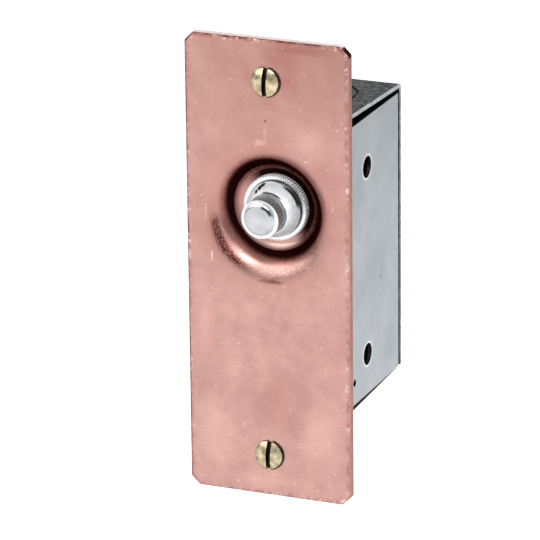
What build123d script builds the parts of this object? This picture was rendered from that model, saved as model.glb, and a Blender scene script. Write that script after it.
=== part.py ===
from build123d import *
import os
from math import cos, hypot, pi, radians, sin, tan

os.makedirs("parts", exist_ok=True)

# Door jamb switch: a copper-finished face plate with a drawn recess, a spring-loaded plunger in the
# recess, the switch behind it, and a shallow steel box that sinks into the door jamb.
# Millimetres. The origin is the centre of the plate's back, the face that lies on the jamb.
# +Y goes into the jamb, +Z is up, +X is to the right for someone who looks at the plate.

# Face plate
plate_width = 38.1
plate_height = 104.775
plate_thickness = 2.0
plate_corner = 1.95
plate_corner_round = 0.5
plate_edge_round = 0.45
screw_spacing = 85.725

# Knurled nut in the recess, and the threaded bushing that it holds
nut_diameter = 14.9
nut_thickness = 1.6
nut_bevel = 0.12
nut_bore_bevel = 0.12
tooth_count = 88
tooth_depth = 0.45
notch_share = 0.5
bushing_diameter = 12.7
thread_fit = 0.05
nose_length = 4.3
nose_round = 6.2
nose_lip = 0.1
nose_bevel = 0.1
flange_diameter = 17.0
flange_thickness = 1.5
tail_diameter = 10.4
tail_rim = 0.5
tail_rim_thickness = 0.5
washer_diameter = 16.4
washer_thickness = 0.9

# Recess of the plate
switch_height = 13.1
cup_depth = 5.9
cup_angle = 62.0
cup_lip_radius = 6.0
cup_corner_radius = 2.25
nut_to_corner = 0.45
cup_wall_sheet = 1.55
cup_floor_sheet = 1.7
cup_back_lip_radius = 2.5
cup_back_corner_radius = 3.6
cup_seam = 0.4
bushing_hole_fit = 0.15

# Plunger
plunger_diameter = 8.7
plunger_edge_width = 1.25
plunger_edge_depth = 0.5
plunger_reach = 4.7
plunger_travel = 4.6
stem_diameter = 4.0
running_fit = 0.07
travel_spare = 0.4

# Switch housing and contacts
housing_width = 25.0
housing_height = 28.0
housing_depth = 16.0
housing_wall = 1.5
housing_front = 2.0
housing_corner = 1.5
cavity_height = 16.0
base_thickness = 3.0
barrier_width = 1.5
barrier_height = 3.0
barrier_length = 12.0
contact_sheet = 0.8
contact_width = 6.0
contact_bend = 0.5
contact_gap = 0.05
pad_rim = 0.1
foot_inner_x = 4.2
slot_fit = 0.1
tip_diameter = 3.0
tip_thickness = 0.6
bridge_sheet = 0.8
bridge_room = 0.7
bridge_arm_width = 5.0
bridge_disc = 10.8
collar_flange = 10.0
collar_sleeve = 6.0
clip_diameter = 6.6
clip_thickness = 0.6
clip_groove = 0.4
clip_mouth = 2.4
stem_end = 0.8
spring_wire = 0.7
spring_diameter = 8.8
spring_coils = 6
spring_seat_depth = 1.0
spring_seat_gap = 0.05
terminal_x = 7.2
terminal_head = 6.0
terminal_head_height = 1.8
terminal_shank = 3.0
terminal_grip = 2.0
rivet_spacing = 22.0
rivet_diameter = 2.8
rivet_head = 4.6
rivet_head_height = 0.7

# Box in the jamb
box_sheet = 0.9
box_bend = 0.2
box_depth = 37.4
side_top = 31.5
side_bottom = -32.8
top_gap = 0.95
bottom_inset = 0.1
top_lean = 2.1
bottom_lean = 2.0
cup_side_gap = 0.39
ear_width = 19.0
ear_height = 4.8
ear_corner = 2.0
side_flange = 9.0
box_rivet_spacing = 40.0
box_rivet_diameter = 3.2
box_rivet_head = 5.4
box_rivet_head_height = 0.9
nail_hole = 5.0
nail_hole_depth = 16.8
nail_hole_top = 20.0
nail_hole_bottom = -23.5
pilot_hole = 1.6
pilot_depth = 8.9
pilot_height = -27.7
knockout_diameter = 22.2
knockout_depth = 22.0
knockout_groove = 0.7
knockout_cut = 0.5

# Cover screws
screw_head = 6.8
screw_crown = 1.0
screw_rim = 0.35
screw_cone = 82.0
screw_slot = 1.0
screw_slot_depth = 1.3
screw_slot_turn = 2.5
screw_diameter = 3.5
screw_pitch = 0.794
screw_length = 10.5
screw_fit = 0.1

# Levels along the depth, from the plate's face to the back of the switch
cup_floor_y = cup_depth - plate_thickness
nut_front_y = cup_floor_y - nut_thickness
cup_back_y = cup_floor_y + cup_floor_sheet
flange_y = cup_back_y + washer_thickness
housing_y = flange_y + flange_thickness
cavity_y = housing_y + housing_front
base_y = housing_y + housing_depth
base_back_y = base_y + base_thickness
tail_y = cavity_y + tail_rim_thickness
crown_y = -plate_thickness - plunger_reach
fixed_tip_y = cavity_y + contact_sheet
moving_tip_y = fixed_tip_y + tip_thickness + contact_gap
bridge_y = moving_tip_y + tip_thickness
bridge_back_y = bridge_y + bridge_sheet
collar_y = tail_y + travel_spare
clip_y = bridge_back_y + contact_gap
stem_end_y = clip_y + clip_thickness + stem_end
box_back_y = box_depth - box_sheet

# The contact strips run beside the housing's wall; the bridge's arms end short of them
contact_x = housing_width / 2 - housing_wall - slot_fit - contact_sheet / 2
bridge_half = contact_x - contact_sheet / 2 - bridge_room
tip_x = bridge_half - tip_diameter / 2
pad_inner_x = tip_x - tip_diameter / 2 - pad_rim

# Outline of the recess, worked out from the nut outwards
slope = radians(cup_angle)
cup_floor_radius = nut_diameter / 2 + nut_to_corner
corner_drop = cup_corner_radius * (1 - cos(slope))
lip_drop = cup_lip_radius * (1 - cos(slope))
wall_run = (cup_depth - corner_drop - lip_drop) / sin(slope)
corner_end = (cup_floor_radius + cup_corner_radius * sin(slope), cup_floor_y - corner_drop)
lip_end = (corner_end[0] + wall_run * cos(slope), corner_end[1] - wall_run * sin(slope))
cup_mouth_radius = lip_end[0] + cup_lip_radius * sin(slope)

# The back of the recess keeps the wall's thickness from the front
back_drop = cup_back_corner_radius * (1 - cos(slope))
back_lip_drop = cup_back_lip_radius * (1 - cos(slope))
back_wall = (corner_end[0] + cup_wall_sheet * sin(slope), corner_end[1] + cup_wall_sheet * cos(slope))


def back_wall_radius(y):
    """Radius of the recess's outer wall at depth y, on its straight cone."""
    return back_wall[0] + (back_wall[1] - y) / tan(slope)


back_corner_end = (back_wall_radius(cup_back_y - back_drop), cup_back_y - back_drop)
back_floor_radius = back_corner_end[0] - cup_back_corner_radius * sin(slope)
back_lip_end = (back_wall_radius(back_lip_drop), back_lip_drop)
back_mouth_radius = back_lip_end[0] + cup_back_lip_radius * sin(slope)

# The box is as wide as the recess behind the plate needs
box_half = back_mouth_radius + cup_side_gap + box_sheet
side_inner = box_half - box_sheet
frame_top = side_top + top_gap + box_sheet
frame_bottom = side_bottom - box_sheet - box_bend
bottom_half = side_inner - bottom_inset


def turned(*edges):
    """A solid of revolution about the switch's axis; the profile is (radius, depth)."""
    return Pos(0, 0, switch_height) * revolve(make_face(Curve() + list(edges)), Axis.Y)


def turned_points(*points):
    """A solid of revolution with straight sides, from its (radius, depth) corners."""
    return turned(Polyline(*points, close=True))


def tube(radius, start, end, bore=0.0):
    """A round bar or tube along the switch's axis between two depths."""
    return turned_points((bore, start), (radius, start), (radius, end), (bore, end))


def bar_y(radius, start, end, x=0.0, z=0.0):
    """A round bar along Y between two depths, at a place on the plate."""
    middle = Pos(x, (start + end) / 2, z) * Rot(90, 0, 0)
    return middle * Cylinder(radius, end - start)


def block(x, y, z):
    """A box from three (low, high) pairs."""
    size = [high - low for low, high in (x, y, z)]
    centre = [(low + high) / 2 for low, high in (x, y, z)]
    return Pos(*centre) * Box(*size)


def strip_face(path, sheet, bend):
    """Face of a folded strip: path is its middle line, and bend is the inside radius of each fold."""
    steps = [(b[0] - a[0], b[1] - a[1]) for a, b in zip(path, path[1:])]
    ways = [(u / hypot(u, v), v / hypot(u, v)) for u, v in steps]
    outline = []
    for side in (1, -1):
        line = [offset_point(path[0], ways[0], ways[0], side * sheet / 2)]
        radii = []
        for point, before, after in zip(path[1:], ways, ways[1:]):
            turn = before[0] * after[1] - before[1] * after[0]
            line.append(offset_point(point, before, after, side * sheet / 2))
            radii.append(bend if side * turn > 0 else bend + sheet)
        line.append(offset_point(path[-1], ways[-1], ways[-1], side * sheet / 2))
        outline.append((line, radii))
    (left, left_radii), (right, right_radii) = outline
    return make_face(
        FilletPolyline(*left, radius=left_radii)
        + Line(left[-1], right[-1])
        + FilletPolyline(*right, radius=right_radii)
        + Line(right[0], left[0])
    )


def offset_point(point, before, after, distance):
    """The mitred point beside a corner, at a distance to the left of both runs."""
    normal = (-before[1] - after[1], before[0] + after[0])
    reach = distance / (1 + before[0] * after[0] + before[1] * after[1])
    return (point[0] + normal[0] * reach, point[1] + normal[1] * reach)


def screw_heights():
    """The two cover screws, as (name, height)."""
    return [("top", screw_spacing / 2), ("bottom", -screw_spacing / 2)]


def cone_depth(radius, end_radius):
    """Depth of a countersink between two radii."""
    return (radius - end_radius) / tan(radians(screw_cone / 2))


def face_plate():
    """The plate, its drawn recess, the bushing's hole and two countersunk screw holes."""
    middle_y = -plate_thickness / 2
    blank = Pos(0, middle_y, 0) * Box(plate_width, plate_thickness, plate_height)
    blank = chamfer(blank.edges().filter_by(Axis.Y), plate_corner)
    blank = fillet(blank.edges().filter_by(Axis.Y), plate_corner_round)
    blank = fillet(blank.faces().sort_by(Axis.Y)[0].outer_wire().edges(), plate_edge_round)
    seam_radius = cup_mouth_radius + cup_seam
    hole_radius = bushing_diameter / 2 + bushing_hole_fit
    front = [
        Line((hole_radius, cup_floor_y), (cup_floor_radius, cup_floor_y)),
        RadiusArc((cup_floor_radius, cup_floor_y), corner_end, cup_corner_radius),
        Line(corner_end, lip_end),
        RadiusArc(lip_end, (cup_mouth_radius, -plate_thickness), -cup_lip_radius),
        Line((cup_mouth_radius, -plate_thickness), (seam_radius, -plate_thickness)),
    ]
    back = [
        Line((seam_radius, -plate_thickness), (seam_radius, 0)),
        Line((seam_radius, 0), (back_mouth_radius, 0)),
        RadiusArc((back_mouth_radius, 0), back_lip_end, cup_back_lip_radius),
        Line(back_lip_end, back_corner_end),
        RadiusArc(back_corner_end, (back_floor_radius, cup_back_y), -cup_back_corner_radius),
        Line((back_floor_radius, cup_back_y), (hole_radius, cup_back_y)),
        Line((hole_radius, cup_back_y), (hole_radius, cup_floor_y)),
    ]
    plate = blank - tube(seam_radius, -2 * plate_thickness, plate_thickness)
    plate = plate + turned(*front, *back)
    shank_hole = screw_diameter / 2 + screw_fit
    sink_radius = screw_head / 2 - screw_rim * tan(radians(screw_cone / 2)) + screw_fit
    sink = cone_depth(sink_radius, shank_hole)
    for name, height in screw_heights():
        cone = Cone(shank_hole, sink_radius, sink)
        plate -= Pos(0, sink / 2 - plate_thickness, height) * Rot(90, 0, 0) * cone
        plate -= bar_y(shank_hole, -plate_thickness, plate_thickness, z=height)
    return plate


def cover_screw(height):
    """An oval-head screw: a crowned head with a slot, its cone, and a ringed thread."""
    head_radius = screw_head / 2
    root_radius = screw_diameter / 2 - 0.6 * screw_pitch / 2
    face = -plate_thickness - screw_rim
    neck_y = face + cone_depth(head_radius, screw_diameter / 2)
    thread_y = box_sheet
    tip_y = face + screw_length
    turns = int((tip_y - thread_y) / screw_pitch)
    points = [(head_radius, face), (screw_diameter / 2, neck_y), (screw_diameter / 2, thread_y)]
    for turn in range(turns):
        start = thread_y + turn * screw_pitch
        points.append((root_radius, start + screw_pitch / 2))
        points.append((screw_diameter / 2, start + screw_pitch))
    apex = (0, face - screw_crown)
    points += [(root_radius, tip_y), (0, tip_y), apex]
    crown = TangentArc(apex, points[0], tangent=(1, 0))
    body = revolve(make_face(Polyline(*points) + crown), Axis.Y)
    slot_y = face - screw_crown + screw_slot_depth / 2
    slot = Pos(0, slot_y, 0) * Rot(0, screw_slot_turn, 0) * Box(screw_slot, screw_slot_depth, 2 * screw_head)
    return Pos(0, 0, height) * (body - slot)


def frame_height(y, outer, lean, way):
    """Height of an end wall's middle line at depth y; the wall leans outwards towards the plate."""
    return outer + way * ((box_depth - y) * tan(radians(lean)) - box_sheet / 2 / cos(radians(lean)))


def box_frame():
    """One folded strip: ear, top wall, back, a narrower bottom wall, ear; with two knockouts."""
    front = box_sheet / 2
    back = box_depth - box_sheet / 2
    ear_end = screw_spacing / 2 + ear_height
    path = [
        (front, ear_end),
        (front, frame_height(front, frame_top, top_lean, 1)),
        (back, frame_height(back, frame_top, top_lean, 1)),
        (back, frame_height(back, frame_bottom, bottom_lean, -1)),
        (front, frame_height(front, frame_bottom, bottom_lean, -1)),
        (front, -ear_end),
    ]
    strip = extrude(Plane.YZ * strip_face(path, box_sheet, box_bend), box_half, both=True)
    for span in ((bottom_half, box_half), (-box_half, -bottom_half)):
        strip -= block(span, (0, box_depth), (-plate_height / 2, side_bottom))
    for outer, lean, way in ((frame_top, top_lean, 1), (frame_bottom, bottom_lean, -1)):
        ear_start = outer + way * (box_depth * tan(radians(lean)) + box_bend + box_sheet)
        ear_side = box_half - ear_width / 2
        for side in (1, -1):
            x = side * (ear_width / 2 + ear_side / 2)
            z = way * (abs(ear_start) + ear_end + ear_corner) / 2
            strip -= Pos(x, front, z) * Box(ear_side, 2 * box_sheet, ear_end + ear_corner - abs(ear_start))
        wall_z = frame_height(knockout_depth, outer, lean, way) + way * box_sheet / 2 / cos(radians(lean))
        tilt = Pos(0, knockout_depth, wall_z) * Rot(-way * lean, 0, 0)
        outer_ring = Cylinder(knockout_diameter / 2, 2 * knockout_cut)
        inner_ring = Cylinder(knockout_diameter / 2 - knockout_groove, 2 * knockout_cut)
        strip -= tilt * (outer_ring - inner_ring)
    ear_edges = strip.edges().filter_by(Axis.Y).filter_by(lambda edge: abs(edge.center().Z) > ear_end - 0.01)
    strip = fillet(ear_edges, ear_corner)
    for name, height in screw_heights():
        strip -= bar_y(screw_diameter / 2 + thread_fit, -box_sheet, 2 * box_sheet, z=height)
    for x, z in box_rivet_places():
        strip -= bar_y(box_rivet_diameter / 2 + thread_fit, box_back_y - 1, box_depth + 1, x, z)
    return strip


def box_rivet_places():
    """The four rivets that hold the side panels' flanges to the frame's back."""
    x = side_inner - side_flange / 2
    return [(side * x, level * box_rivet_spacing / 2) for side in (1, -1) for level in (1, -1)]


def box_side(side):
    """A side panel folded inwards along its back edge, with two nail holes and a pilot hole."""
    middle_x = box_half - box_sheet / 2
    flange_middle = box_back_y - box_sheet / 2
    path = [(middle_x, 0), (middle_x, flange_middle), (side_inner - side_flange, flange_middle)]
    half_height = (side_top - side_bottom) / 2
    panel = extrude(strip_face(path, box_sheet, box_bend), half_height, both=True)
    panel = Pos(0, 0, (side_top + side_bottom) / 2) * panel
    holes = [
        (nail_hole, nail_hole_depth, nail_hole_top),
        (nail_hole, nail_hole_depth, nail_hole_bottom),
        (pilot_hole, pilot_depth, pilot_height),
    ]
    for diameter, y, z in holes:
        panel -= Pos(middle_x, y, z) * Rot(0, 90, 0) * Cylinder(diameter / 2, 2 * box_sheet)
    panel = panel if side > 0 else mirror(panel, Plane.YZ)
    for x, z in box_rivet_places():
        panel -= bar_y(box_rivet_diameter / 2 + thread_fit, box_back_y - 2 * box_sheet, box_depth, x, z)
    return panel


def box_rivets():
    """Four rivets, flush with the box's back and domed inside."""
    flange_face = box_back_y - box_sheet
    group = []
    for x, z in box_rivet_places():
        shank = bar_y(box_rivet_diameter / 2, flange_face, box_depth, x, z)
        head = bar_y(box_rivet_head / 2, flange_face - box_rivet_head_height, flange_face, x, z)
        rim = head.faces().sort_by(Axis.Y)[0].edges()
        group.append(shank + fillet(rim, 0.7 * box_rivet_head_height))
    return Compound(group)


def knurled_nut():
    """A thin round nut with flat teeth between narrow notches, and a bevelled rim and bore."""
    tip = nut_diameter / 2
    root = tip - tooth_depth
    pitch = 2 * pi / tooth_count
    rim = []
    for index in range(tooth_count):
        for radius, share in ((root, 0), (tip, notch_share / 2), (tip, 1 - notch_share / 2)):
            angle = (index + share) * pitch
            rim.append((radius * cos(angle), radius * sin(angle)))
    teeth = extrude(make_face(Polyline(*rim, close=True)), nut_thickness)
    teeth = Pos(0, cup_floor_y, switch_height) * Rot(90, 0, 0) * teeth
    bore = bushing_diameter / 2 + thread_fit
    bevelled = turned_points(
        (bore, cup_floor_y),
        (tip, cup_floor_y),
        (tip, nut_front_y + nut_bevel),
        (tip - nut_bevel, nut_front_y),
        (bore + nut_bore_bevel, nut_front_y),
        (bore, nut_front_y + nut_bore_bevel),
    )
    return teeth & bevelled


def lock_washer():
    """A flat washer between the recess's back and the bushing's flange."""
    return tube(washer_diameter / 2, cup_back_y, flange_y, bushing_diameter / 2 + bushing_hole_fit)


def switch_bushing():
    """The bushing: a crowned nose, a straight barrel, a flange and a peened rim."""
    outer = bushing_diameter / 2
    bore = plunger_diameter / 2 + running_fit
    mouth = bore + nose_bevel
    nose_base = (outer, nut_front_y)
    nose_tip = (mouth + nose_lip, nut_front_y - nose_length)
    tail = tail_diameter / 2
    corners = [
        nose_tip,
        (mouth, nose_tip[1]),
        (bore, nose_tip[1] + nose_bevel),
        (bore, tail_y),
        (tail + tail_rim, tail_y),
        (tail + tail_rim, cavity_y),
        (tail, cavity_y),
        (tail, housing_y),
        (flange_diameter / 2, housing_y),
        (flange_diameter / 2, flange_y),
        (outer, flange_y),
        nose_base,
    ]
    return turned(RadiusArc(nose_base, nose_tip, nose_round), Polyline(*corners))


def housing_blank(start, end):
    """A rounded block of the housing's outline between two depths."""
    half_width = housing_width / 2
    half_height = housing_height / 2
    body = block((-half_width, half_width), (start, end), (-half_height, half_height))
    return Pos(0, 0, switch_height) * fillet(body.edges().filter_by(Axis.Y), housing_corner)


def housing_rivet_places():
    """Heights of the two rivets that close the housing."""
    return [switch_height + side * rivet_spacing / 2 for side in (1, -1)]


def switch_housing():
    """The moulded body, open at the back, with holes for the bushing's tail and two rivets."""
    inside = housing_width / 2 - housing_wall
    half = cavity_height / 2
    body = housing_blank(housing_y, base_y)
    body -= Pos(0, 0, switch_height) * block((-inside, inside), (cavity_y, base_y), (-half, half))
    body -= tube(tail_diameter / 2 + thread_fit, housing_y, cavity_y)
    for z in housing_rivet_places():
        body -= bar_y(rivet_diameter / 2 + thread_fit, housing_y, base_y, z=z)
    return body


def switch_base():
    """The moulded back: spring seat, slots for the two contacts, screw and rivet holes, and a barrier."""
    base = housing_blank(base_y, base_back_y)
    base -= tube(spring_diameter / 2 + spring_wire, base_y, base_y + spring_seat_depth)
    slot_half = contact_sheet / 2 + slot_fit
    slot_height = contact_width / 2 + slot_fit
    hole_start = base_back_y - terminal_grip
    for side in (1, -1):
        x = side * contact_x
        slot = block((x - slot_half, x + slot_half), (base_y, base_back_y), (-slot_height, slot_height))
        fold = (base_back_y - contact_bend, base_back_y)
        room = slot_half + contact_bend
        relief = block((x - room, x + room), fold, (-slot_height, slot_height))
        base -= Pos(0, 0, switch_height) * (slot + relief)
        screw_hole = terminal_shank / 2 + thread_fit
        base -= bar_y(screw_hole, hole_start, base_back_y, side * terminal_x, switch_height)
    for z in housing_rivet_places():
        base -= bar_y(rivet_diameter / 2 + thread_fit, base_y, base_back_y, z=z)
    barrier = block(
        (-barrier_width / 2, barrier_width / 2),
        (base_back_y, base_back_y + barrier_height),
        (-barrier_length / 2, barrier_length / 2),
    )
    return base + Pos(0, 0, switch_height) * barrier


def fixed_contact(side):
    """A folded strip: a pad behind the housing's front, a run along its wall and a foot on the base."""
    pad_y = cavity_y + contact_sheet / 2
    foot_y = base_back_y + contact_sheet / 2
    path = [(pad_inner_x, pad_y), (contact_x, pad_y), (contact_x, foot_y), (foot_inner_x, foot_y)]
    strip = extrude(strip_face(path, contact_sheet, contact_bend), contact_width / 2, both=True)
    strip = Pos(0, 0, switch_height) * strip
    screw_hole = terminal_shank / 2 + thread_fit
    strip -= bar_y(screw_hole, base_back_y, base_back_y + contact_sheet, terminal_x, switch_height)
    return strip if side > 0 else mirror(strip, Plane.YZ)


def contact_tips(start):
    """Two silver tips, one for each side, on the face at this depth."""
    end = start + tip_thickness
    return Compound([bar_y(tip_diameter / 2, start, end, side * tip_x, switch_height) for side in (1, -1)])


def terminal_screw(side):
    """A binding-head screw with a slot, through the contact's foot into the base."""
    seat = base_back_y + contact_sheet
    x = side * terminal_x
    shank = bar_y(terminal_shank / 2, base_back_y - terminal_grip, seat, x, switch_height)
    head = bar_y(terminal_head / 2, seat, seat + terminal_head_height, x, switch_height)
    head = fillet(head.faces().sort_by(Axis.Y)[-1].edges(), terminal_head_height / 3)
    depth = terminal_head_height / 2
    slot = Box(contact_sheet, 2 * depth, 2 * terminal_head)
    return shank + head - Pos(x, seat + terminal_head_height, switch_height) * slot


def housing_rivets():
    """Two rivets through the housing and its base, with a flat head at each end."""
    group = []
    for z in housing_rivet_places():
        shank = bar_y(rivet_diameter / 2, housing_y, base_back_y, z=z)
        front = bar_y(rivet_head / 2, housing_y - rivet_head_height, housing_y, z=z)
        back = bar_y(rivet_head / 2, base_back_y, base_back_y + rivet_head_height, z=z)
        group.append(shank + front + back)
    return Compound(group)


def plunger():
    """The button: a round bar with a crowned edge that runs in the bushing, a stem and a clip groove."""
    radius = plunger_diameter / 2
    stem = stem_diameter / 2
    groove = stem - clip_groove
    edge_start = (radius - plunger_edge_width, crown_y)
    edge_end = (radius, crown_y + plunger_edge_depth)
    edge_round = (plunger_edge_width**2 + plunger_edge_depth**2) / (2 * plunger_edge_depth)
    corners = [
        edge_end,
        (radius, collar_y),
        (stem, collar_y),
        (stem, clip_y),
        (groove, clip_y),
        (groove, clip_y + clip_thickness),
        (stem, clip_y + clip_thickness),
        (stem, stem_end_y),
        (0, stem_end_y),
        (0, crown_y),
        edge_start,
    ]
    return turned(Polyline(*corners), RadiusArc(edge_start, edge_end, edge_round))


def plunger_insulator():
    """A fibre collar that keeps the bridge clear of the metal stem."""
    bore = stem_diameter / 2 + thread_fit
    return turned_points(
        (bore, collar_y),
        (collar_flange / 2, collar_y),
        (collar_flange / 2, bridge_y),
        (collar_sleeve / 2, bridge_y),
        (collar_sleeve / 2, bridge_back_y),
        (bore, bridge_back_y),
    )


def contact_bridge():
    """The moving contact: a disc for the spring with an arm to each side."""
    span = (-bridge_half, bridge_half)
    arm = block(span, (bridge_y, bridge_back_y), (-bridge_arm_width / 2, bridge_arm_width / 2))
    disc = tube(bridge_disc / 2, bridge_y, bridge_back_y)
    hole = tube(collar_sleeve / 2 + thread_fit, bridge_y, bridge_back_y)
    return Pos(0, 0, switch_height) * arm + disc - hole


def retaining_clip():
    """An open ring in the stem's groove."""
    ring = tube(clip_diameter / 2, clip_y, clip_y + clip_thickness, stem_diameter / 2 - clip_groove)
    mouth = block((-clip_mouth / 2, clip_mouth / 2), (clip_y, clip_y + clip_thickness), (0, clip_diameter))
    return ring - Pos(0, 0, switch_height) * mouth


def return_spring():
    """A helical compression spring between the bridge and the base."""
    radius = spring_diameter / 2
    start = bridge_back_y + spring_seat_gap + spring_wire / 2
    length = base_y + spring_seat_depth - spring_seat_gap - spring_wire / 2 - start
    helix = Helix(length / spring_coils, length, radius)
    wire = Plane(helix @ 0, z_dir=helix % 0) * Circle(spring_wire / 2)
    coil = sweep(wire, path=helix, is_frenet=True)
    return Pos(0, start, switch_height) * Rot(-90, 0, 0) * coil


def build():
    """Every node of the switch, by name."""
    nodes = {"face_plate": face_plate()}
    for name, height in screw_heights():
        nodes["cover_screw_" + name] = cover_screw(height)
    nodes["box_frame"] = box_frame()
    nodes["box_rivets"] = box_rivets()
    nodes["knurled_nut"] = knurled_nut()
    nodes["lock_washer"] = lock_washer()
    nodes["switch_bushing"] = switch_bushing()
    nodes["switch_housing"] = switch_housing()
    nodes["switch_base"] = switch_base()
    nodes["housing_rivets"] = housing_rivets()
    for name, side in (("right", 1), ("left", -1)):
        nodes["box_side_" + name] = box_side(side)
        nodes["fixed_contact_" + name] = fixed_contact(side)
        nodes["terminal_screw_" + name] = terminal_screw(side)
    nodes["fixed_tips"] = contact_tips(fixed_tip_y)
    nodes["moving_tips"] = contact_tips(moving_tip_y)
    nodes["plunger"] = plunger()
    nodes["plunger_insulator"] = plunger_insulator()
    nodes["contact_bridge"] = contact_bridge()
    nodes["retaining_clip"] = retaining_clip()
    nodes["return_spring"] = return_spring()
    return nodes


for name, shape in build().items():
    export_step(shape, "parts/" + name + ".step")

print("box", round(2 * box_half, 2), "wide,", round(box_depth, 2), "deep")
print("recess mouth", round(2 * cup_mouth_radius, 2), "behind the plate", round(2 * back_mouth_radius, 2))
print("spring length", round(base_y + spring_seat_depth - bridge_back_y, 2), "travel", plunger_travel)
print("spring's solid height", round((spring_coils + 1) * spring_wire, 2))
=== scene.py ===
# %% [markdown]
# # A door jamb switch, dressed
#
# A copper-finished face plate sits on the door jamb, and a shallow box of galvanised sheet sinks into the
# wood behind it. A nickel-plated button stands in a drawn recess of the plate: the closed door pushes it in,
# and a spring returns it. The imported CAD model gives every shape and place. This script adds what the eye
# reads: the finishes, a wound spring, a studio and a camera.

import bpy
import numpy as np
from mathutils import Matrix, Vector


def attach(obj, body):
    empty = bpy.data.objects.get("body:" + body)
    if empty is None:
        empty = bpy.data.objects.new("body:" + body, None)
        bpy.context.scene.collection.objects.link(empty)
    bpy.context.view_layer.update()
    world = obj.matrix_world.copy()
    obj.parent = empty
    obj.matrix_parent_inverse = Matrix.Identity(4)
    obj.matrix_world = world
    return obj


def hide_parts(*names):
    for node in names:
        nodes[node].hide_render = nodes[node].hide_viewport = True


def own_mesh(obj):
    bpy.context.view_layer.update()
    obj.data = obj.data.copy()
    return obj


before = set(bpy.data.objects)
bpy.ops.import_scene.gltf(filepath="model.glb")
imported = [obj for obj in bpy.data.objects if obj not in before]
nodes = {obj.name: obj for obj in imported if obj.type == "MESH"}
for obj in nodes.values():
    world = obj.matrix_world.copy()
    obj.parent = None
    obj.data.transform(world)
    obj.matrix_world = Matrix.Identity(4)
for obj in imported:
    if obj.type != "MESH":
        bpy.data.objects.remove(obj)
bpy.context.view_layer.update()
MM = 0.001

# %% [markdown]
# ## The camera
#
# A long lens from nearly a metre away, a little to the right and above, so that the plate, the
# inside of the recess and the box's right side all show. A camera can be placed by eye, but here
# the angles and the distance were fitted to the edges of the plate and the box, so that the picture
# can be laid over the photograph. Its lens and sensor are in millimetres, the rest in metres.

# %% Place the camera
AZIMUTH = np.radians(22.822)
ELEVATION = np.radians(19.043)
ROLL = np.radians(0.636)
DISTANCE = 985.623 * MM
TARGET = np.array([0.499, -2.0, 0.325]) * MM
LENS = 302.14
SENSOR_WIDTH = 36.0
NEAREST = 0.05


def way_to(azimuth, elevation):
    """The unit vector at two angles in radians: azimuth turns from -Y towards +X, elevation rises."""
    flat = np.cos(elevation)
    return np.array([np.sin(azimuth) * flat, -np.cos(azimuth) * flat, np.sin(elevation)])


away = way_to(AZIMUTH, ELEVATION)
level = np.array([np.cos(AZIMUTH), np.sin(AZIMUTH), 0.0])
above = np.cross(away, level)
right = np.cos(ROLL) * level - np.sin(ROLL) * above
up = np.sin(ROLL) * level + np.cos(ROLL) * above

camera = bpy.data.objects.new("camera", bpy.data.cameras.new("camera"))
bpy.context.scene.collection.objects.link(camera)
camera.data.lens = LENS
camera.data.sensor_width = SENSOR_WIDTH
camera.data.clip_start = NEAREST
camera.matrix_world = Matrix.Translation(Vector(TARGET + DISTANCE * away)) @ Matrix(
    np.column_stack([right, up, away]).tolist()
).to_4x4()
bpy.context.scene.camera = camera
bpy.context.scene.view_settings.view_transform = "Standard"
print("camera at", [round(float(v), 3) for v in camera.matrix_world.translation])

# %% [markdown]
# ## Colours and nodes
#
# Colours are written as sRGB hex values, as a paint chart gives them, and turned to the linear
# values that the shader works with. One small function adds every node of every material, and a few
# more draw the patterns that several finishes share: clouds, bands and distances, in real sizes.


# %% Helpers for every material
def linear(code):
    """An sRGB hex colour as linear RGBA: c / 12.92 below 0.04045, else ((c + 0.055) / 1.055) ** 2.4."""
    value = np.array([int(code[i : i + 2], 16) for i in (1, 3, 5)]) / 255
    value = np.where(value <= 0.04045, value / 12.92, ((value + 0.055) / 1.055) ** 2.4)
    return (*value.tolist(), 1.0)


def add(tree, kind, inputs=None, stops=(), **settings):
    """Add a node and return its outputs. inputs maps a socket to a value or to another node's output,
    stops are a colour ramp's (position, hex) pairs, and settings are the node's own properties."""
    node = tree.nodes.new("ShaderNode" + kind)
    for name, value in settings.items():
        setattr(node, name, value)
    for socket, value in (inputs or {}).items():
        if isinstance(value, bpy.types.NodeSocket):
            tree.links.new(value, node.inputs[socket])
        else:
            node.inputs[socket].default_value = value
    for index, (position, code) in enumerate(stops):
        elements = node.color_ramp.elements
        stop = elements[index] if index < 2 else elements.new(position)
        stop.position, stop.color = position, linear(code)
    return node.outputs


# %% Start and close a material
def dress(name, *pieces):
    """Put a new material on these pieces and return (its tree, its Object coordinates)."""
    material = bpy.data.materials.new(name)
    material.use_nodes = True
    material.node_tree.nodes.clear()
    for piece in pieces:
        piece.data.materials.clear()
        piece.data.materials.append(material)
    print(name, "on", ", ".join(piece.name for piece in pieces))
    return material.node_tree, add(material.node_tree, "TexCoord")["Object"]


def close(tree, colour, roughness, metallic=1.0, normal=None, **sockets):
    """Close a material with a Principled BSDF; further sockets are named with _ for a space."""
    inputs = {"Base Color": colour, "Roughness": roughness, "Metallic": metallic}
    inputs.update({name.replace("_", " "): value for name, value in sockets.items()})
    if normal is not None:
        inputs["Normal"] = normal
    add(tree, "OutputMaterial", {"Surface": add(tree, "BsdfPrincipled", inputs)["BSDF"]})


# %% Smooth steps
def product(tree, *values):
    """Several values multiplied together."""
    total = values[0]
    for value in values[1:]:
        total = add(tree, "Math", {0: total, 1: value}, operation="MULTIPLY")[0]
    return total


def ramp(tree, value, start, end, low=0.0, high=1.0):
    """Low up to start, high from end on, and a smooth step between them."""
    limits = {0: value, 1: start, 2: end, 3: low, 4: high}
    return add(tree, "MapRange", limits, interpolation_type="SMOOTHSTEP")[0]


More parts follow.
